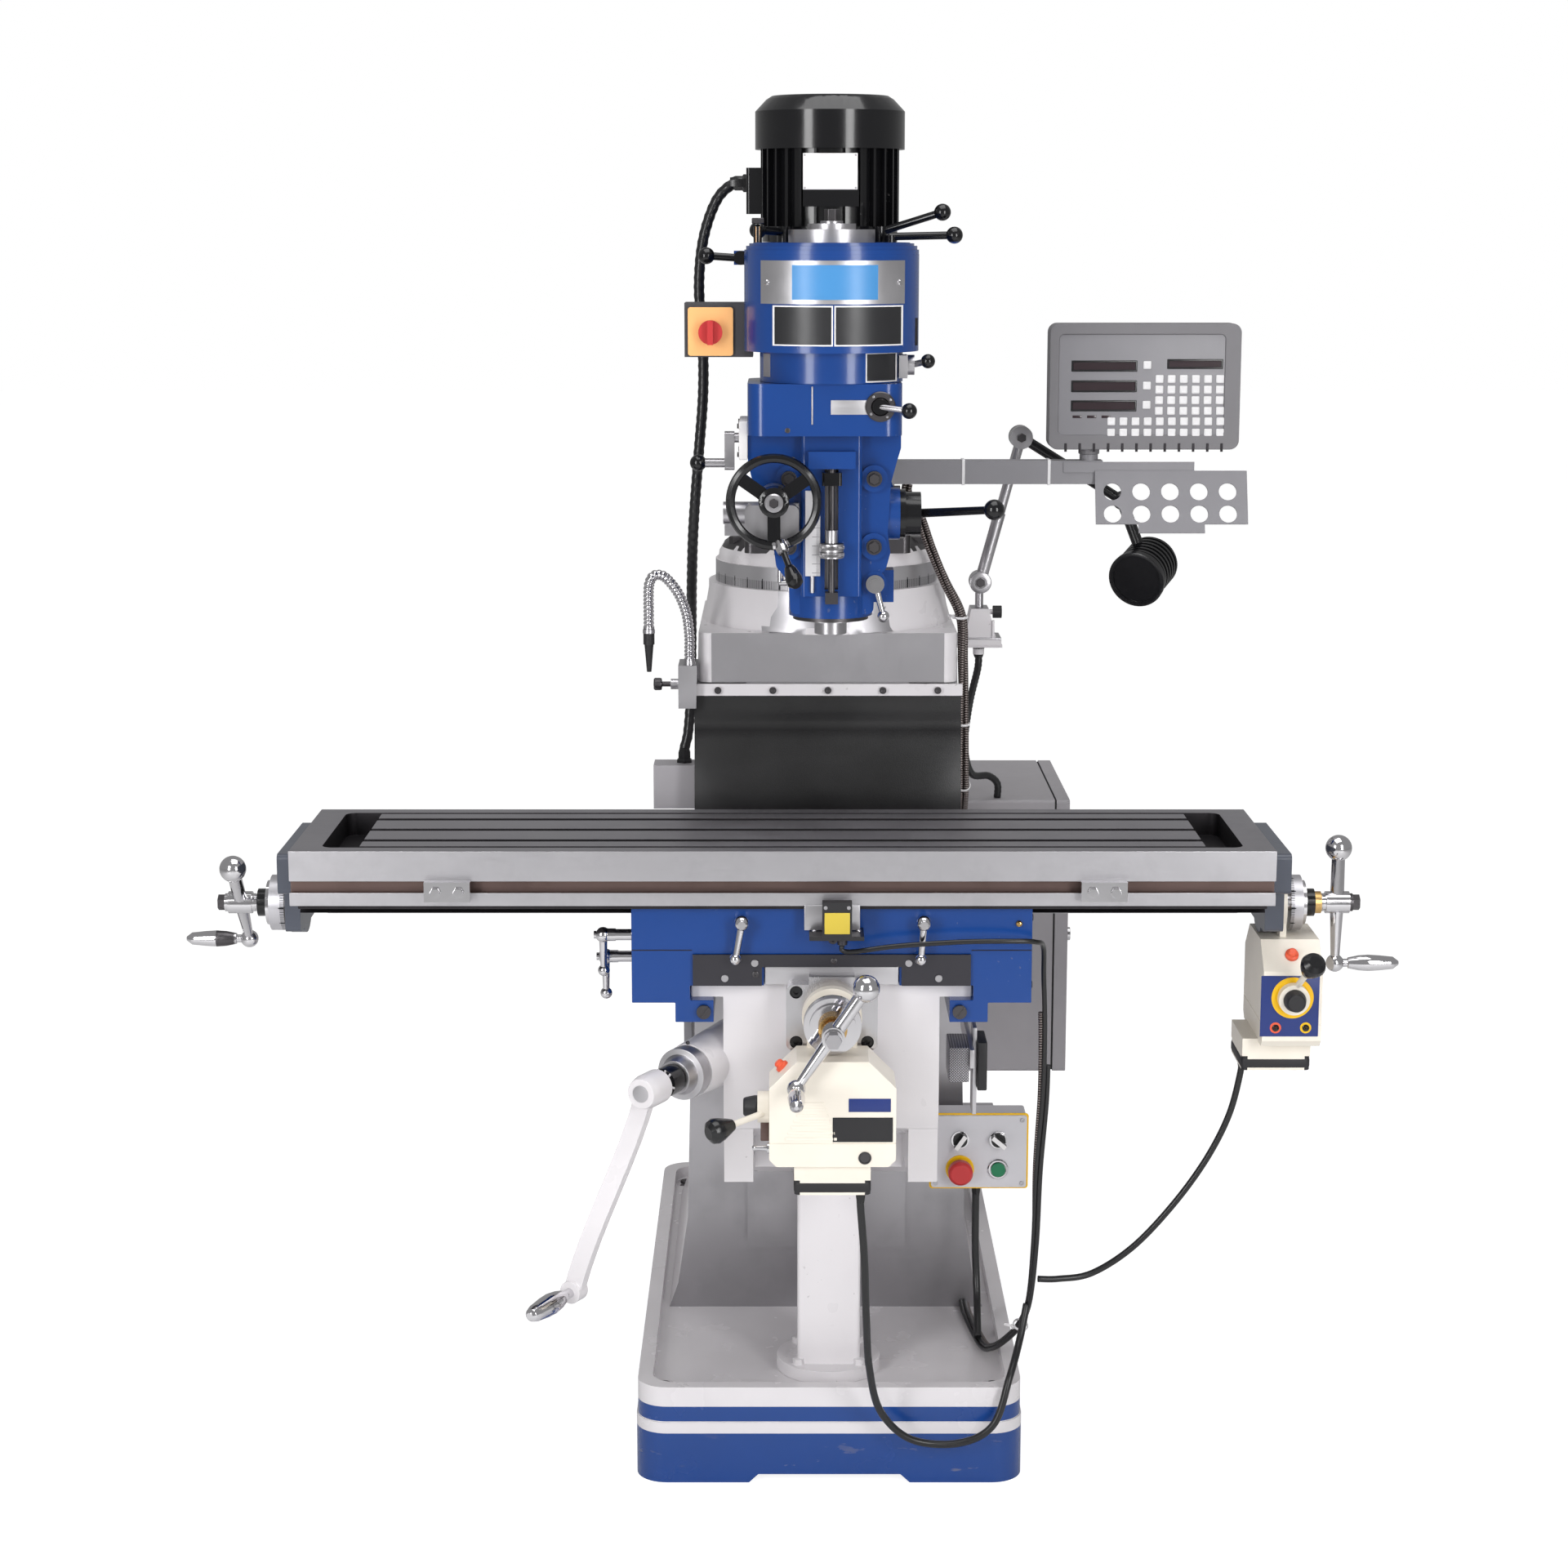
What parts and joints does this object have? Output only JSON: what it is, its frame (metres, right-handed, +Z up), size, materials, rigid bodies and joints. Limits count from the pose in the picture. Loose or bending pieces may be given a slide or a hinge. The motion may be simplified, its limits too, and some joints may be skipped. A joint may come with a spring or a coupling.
{
  "type": "turret milling machine",
  "caption": "Turret milling machine with knee, saddle and T-slotted table, sliding ram, tilting head with quill, power feeds and digital readout.",
  "frame": {"origin": "middle of the base's footprint, on the floor", "axes": "+X along the table to the operator's right, +Y from the operator back to the column, +Z up"},
  "size_m": [1.7662, 1.39, 2.0133],
  "materials": {
    "blue_casting": "gloss enamel",
    "black_enamel": "gloss enamel",
    "white_casting": "gloss enamel",
    "grey_sheet": "satin enamel",
    "cream_plastic": "smooth",
    "console_plastic": "satin",
    "black_plastic": "fine",
    "red_plastic": "smooth",
    "green_plastic": "smooth",
    "chrome_steel": "polished",
    "ground_steel": "ground",
    "table_iron": "ground and scraped",
    "dark_iron": "oiled",
    "black_rubber": "matt"
  },
  "bodies": {
    "frame": {"base": "blue_casting", "column": "white_casting", "elevating_pedestal": "white_casting", "electrical_cabinet": "grey_sheet", "control_box": "grey_sheet", "way_cover": "black_rubber", "column_fittings": "chrome_steel", "head_cables": "black_rubber", "base_cables": "black_rubber", "table_feed_cable": "black_rubber"},
    "cabinet_door": {"cabinet_door": "grey_sheet"},
    "coolant_selector": {"coolant_selector": "black_plastic"},
    "lamp_selector": {"lamp_selector": "black_plastic"},
    "emergency_stop": {"emergency_stop": "red_plastic"},
    "start_button": {"start_button": "green_plastic"},
    "lamp_lower_arm": {"lamp_lower_arm": "white_casting"},
    "lamp_head": {"lamp_head": "black_plastic"},
    "knee": {"knee": "white_casting", "elevating_screw": "ground_steel", "cross_feed_bracket": "chrome_steel", "cross_feed_unit": "cream_plastic"},
    "knee_crank": {"knee_crank": "white_casting"},
    "cross_feed_crank": {"cross_feed_crank": "chrome_steel"},
    "cross_feed_lever": {"cross_feed_lever": "black_plastic"},
    "cross_feed_dial": {"cross_feed_dial": "black_plastic"},
    "cross_feed_button": {"cross_feed_button": "red_plastic"},
    "saddle": {"saddle": "blue_casting", "saddle_fittings": "dark_iron"},
    "table_lock_left": {"table_lock_left": "chrome_steel"},
    "table_lock_right": {"table_lock_right": "chrome_steel"},
    "saddle_lock_front": {"saddle_lock_front": "chrome_steel"},
    "saddle_lock_rear": {"saddle_lock_rear": "chrome_steel"},
    "table": {"table": "table_iron", "table_fittings": "white_casting", "table_feed_unit": "cream_plastic"},
    "table_leadscrew": {"table_leadscrew": "chrome_steel"},
    "table_feed_lever": {"table_feed_lever": "black_plastic"},
    "table_feed_dial": {"table_feed_dial": "black_plastic"},
    "table_feed_button": {"table_feed_button": "red_plastic"},
    "turret": {"turret": "white_casting"},
    "ram": {"ram": "white_casting", "dro_arm": "grey_sheet"},
    "dro_console": {"dro_console": "console_plastic"},
    "knuckle": {"knuckle": "white_casting"},
    "head": {"head": "blue_casting", "belt_housing": "blue_casting", "motor": "black_enamel", "quill_stop": "dark_iron"},
    "quill": {"quill": "ground_steel"},
    "spindle": {"spindle": "ground_steel"},
    "quill_feed_lever": {"quill_feed_lever": "black_plastic"},
    "fine_feed_handwheel": {"fine_feed_handwheel": "black_plastic"},
    "quill_lock": {"quill_lock": "chrome_steel"},
    "feed_crank": {"feed_crank": "chrome_steel"},
    "brake_lever": {"brake_lever": "black_plastic"},
    "motor_lock_left": {"motor_lock_left": "black_plastic"},
    "motor_lock_right": {"motor_lock_right": "black_plastic"},
    "range_lever": {"range_lever": "black_plastic"},
    "feed_knob": {"feed_knob": "black_plastic"},
    "drum_knob": {"drum_knob": "red_plastic"}
  },
  "joints": [
    {"name": "door_hinge", "type": "hinge", "parent": "frame", "child": "cabinet_door", "pos_m": [0.382, 0.527, 0.6], "axis": [0, 0, 1], "range_deg": [0, 110]},
    {"name": "coolant_selector_turn", "type": "hinge", "parent": "frame", "child": "coolant_selector", "pos_m": [0.205, -0.262, 0.441], "axis": [0, 1, 0], "range_deg": [-80, 0]},
    {"name": "lamp_selector_turn", "type": "hinge", "parent": "frame", "child": "lamp_selector", "pos_m": [0.264, -0.262, 0.441], "axis": [0, 1, 0], "range_deg": [0, 90]},
    {"name": "emergency_stop_push", "type": "slide", "parent": "frame", "child": "emergency_stop", "axis": [0, 1, 0], "range_m": [0, 0.005], "stiffness_N_per_m": 600},
    {"name": "start_button_push", "type": "slide", "parent": "frame", "child": "start_button", "axis": [0, 1, 0], "range_m": [0, 0.004], "stiffness_N_per_m": 400},
    {"name": "lamp_lower_joint", "type": "hinge", "parent": "frame", "child": "lamp_lower_arm", "pos_m": [0.245, 0.05, 1.272], "axis": [0, 1, 0], "range_deg": [-25, 15]},
    {"name": "lamp_upper_joint", "type": "hinge", "parent": "lamp_lower_arm", "child": "lamp_head", "pos_m": [0.307, 0.05, 1.501], "axis": [0, 1, 0], "range_deg": [-20, 20]},
    {"name": "knee_slide", "type": "slide", "parent": "frame", "child": "knee", "axis": [0, 0, -1], "range_m": [-0.12, 0.24], "deforming": ["way_cover", "base_cables"]},
    {"name": "knee_crank_turn", "type": "hinge", "parent": "knee", "child": "knee_crank", "pos_m": [-0.25643, -0.72397, 0.655], "axis": [-0.4695, -0.8829, 0], "continuous": true},
    {"name": "saddle_slide", "type": "slide", "parent": "knee", "child": "saddle", "axis": [0, 1, 0], "range_m": [-0.1, 0.15]},
    {"name": "cross_feed_crank_turn", "type": "hinge", "parent": "knee", "child": "cross_feed_crank", "pos_m": [0, -0.69, 0.743], "axis": [0, -1, 0], "continuous": true},
    {"name": "cross_feed_lever_turn", "type": "hinge", "parent": "knee", "child": "cross_feed_lever", "pos_m": [-0.0878, -0.694, 0.624], "axis": [-1, 0, 0], "range_deg": [-20, 20]},
    {"name": "cross_feed_dial_turn", "type": "hinge", "parent": "knee", "child": "cross_feed_dial", "pos_m": [-0.0878, -0.694, 0.624], "axis": [-1, 0, 0], "range_deg": [0, 270]},
    {"name": "cross_feed_button_push", "type": "slide", "parent": "knee", "child": "cross_feed_button", "axis": [0.7071, 0, -0.7071], "range_m": [0, 0.002], "stiffness_N_per_m": 300},
    {"name": "table_lock_left_turn", "type": "hinge", "parent": "saddle", "child": "table_lock_left", "pos_m": [-0.126, -0.6203, 0.8721], "axis": [0, 1, 0], "range_deg": [-40, 30]},
    {"name": "table_lock_right_turn", "type": "hinge", "parent": "saddle", "child": "table_lock_right", "pos_m": [0.128, -0.6203, 0.8721], "axis": [0, 1, 0], "range_deg": [-30, 40]},
    {"name": "saddle_lock_front_turn", "type": "hinge", "parent": "saddle", "child": "saddle_lock_front", "pos_m": [-0.2813, -0.575, 0.8411], "axis": [1, 0, 0], "range_deg": [-40, 15]},
    {"name": "saddle_lock_rear_turn", "type": "hinge", "parent": "saddle", "child": "saddle_lock_rear", "pos_m": [-0.2813, -0.52, 0.7961], "axis": [1, 0, 0], "range_deg": [-30, 40]},
    {"name": "table_slide", "type": "slide", "parent": "saddle", "child": "table", "axis": [1, 0, 0], "range_m": [-0.295, 0.44], "deforming": ["table_feed_cable"]},
    {"name": "table_leadscrew_turn", "type": "hinge", "parent": "table", "child": "table_leadscrew", "pos_m": [-0.07, -0.4875, 0.8682], "axis": [1, 0, 0], "continuous": true},
    {"name": "table_feed_lever_turn", "type": "hinge", "parent": "table", "child": "table_feed_lever", "pos_m": [0.6566, -0.5753, 0.7492], "axis": [0, -1, 0], "range_deg": [-20, 20]},
    {"name": "table_feed_dial_turn", "type": "hinge", "parent": "table", "child": "table_feed_dial", "pos_m": [0.6566, -0.5753, 0.7492], "axis": [0, -1, 0], "range_deg": [0, 270]},
    {"name": "table_feed_button_push", "type": "slide", "parent": "table", "child": "table_feed_button", "axis": [0, 0.7071, -0.7071], "range_m": [0, 0.002], "stiffness_N_per_m": 300},
    {"name": "turret_turn", "type": "hinge", "parent": "frame", "child": "turret", "pos_m": [0, 0.02, 1.2791], "axis": [0, 0, 1], "range_deg": [-45, 15], "deforming": ["head_cables"]},
    {"name": "ram_slide", "type": "slide", "parent": "turret", "child": "ram", "axis": [0, -1, 0], "range_m": [-0.1, 0.2]},
    {"name": "console_turn", "type": "hinge", "parent": "ram", "child": "dro_console", "pos_m": [0.4, -0.105, 1.5], "axis": [0, 0, 1], "range_deg": [-30, 25]},
    {"name": "head_nod", "type": "hinge", "parent": "ram", "child": "knuckle", "pos_m": [0, -0.27, 1.43], "axis": [1, 0, 0], "range_deg": [-45, 45]},
    {"name": "head_tilt", "type": "hinge", "parent": "knuckle", "child": "head", "pos_m": [0, -0.345, 1.43], "axis": [0, 1, 0], "range_deg": [-90, 45]},
    {"name": "quill_slide", "type": "slide", "parent": "head", "child": "quill", "axis": [0, 0, -1], "range_m": [0, 0.0625]},
    {"name": "spindle_turn", "type": "hinge", "parent": "quill", "child": "spindle", "pos_m": [0, -0.43, 1.3], "axis": [0, 0, 1], "continuous": true},
    {"name": "quill_feed_turn", "type": "hinge", "parent": "head", "child": "quill_feed_lever", "pos_m": [0.1, -0.43, 1.424], "axis": [1, 0, 0], "range_deg": [0, 170]},
    {"name": "fine_feed_turn", "type": "hinge", "parent": "head", "child": "fine_feed_handwheel", "pos_m": [-0.081, -0.548, 1.451], "axis": [0, 1, 0], "continuous": true},
    {"name": "quill_lock_turn", "type": "hinge", "parent": "head", "child": "quill_lock", "pos_m": [0.062, -0.4723, 1.329], "axis": [0, 1, 0], "range_deg": [-80, 0]},
    {"name": "feed_crank_turn", "type": "hinge", "parent": "head", "child": "feed_crank", "pos_m": [-0.134, -0.4, 1.53], "axis": [1, 0, 0], "range_deg": [-35, 35]},
    {"name": "brake_lever_turn", "type": "hinge", "parent": "head", "child": "brake_lever", "pos_m": [-0.129, -0.344, 1.7831], "axis": [0, 1, 0], "range_deg": [-15, 15]},
    {"name": "motor_lock_left_turn", "type": "hinge", "parent": "head", "child": "motor_lock_left", "pos_m": [-0.066, -0.345, 1.805], "axis": [0, 0, 1], "range_deg": [-50, 10]},
    {"name": "motor_lock_right_turn", "type": "hinge", "parent": "head", "child": "motor_lock_right", "pos_m": [0.07, -0.345, 1.805], "axis": [0, 0, 1], "range_deg": [-8, 50]},
    {"name": "range_lever_turn", "type": "hinge", "parent": "head", "child": "range_lever", "pos_m": [0.1063, -0.462, 1.636], "axis": [1, 0, 0], "range_deg": [-30, 30]},
    {"name": "feed_knob_turn", "type": "hinge", "parent": "head", "child": "feed_knob", "pos_m": [0.067, -0.5223, 1.581], "axis": [0, 1, 0], "range_deg": [-30, 30]},
    {"name": "drum_switch_turn", "type": "hinge", "parent": "head", "child": "drum_knob", "pos_m": [-0.171, -0.425, 1.68], "axis": [0, 1, 0], "range_deg": [-60, 60]}
  ],
  "couplings": [
    {"joint": "knee_crank_turn", "follows": "knee_slide", "rad_per_m": -2513.3},
    {"joint": "cross_feed_crank_turn", "follows": "saddle_slide", "rad_per_m": 1256.6},
    {"joint": "table_leadscrew_turn", "follows": "table_slide", "rad_per_m": 1256.6},
    {"joint": "quill_feed_turn", "follows": "quill_slide", "rad_per_m": 45.35}
  ]
}
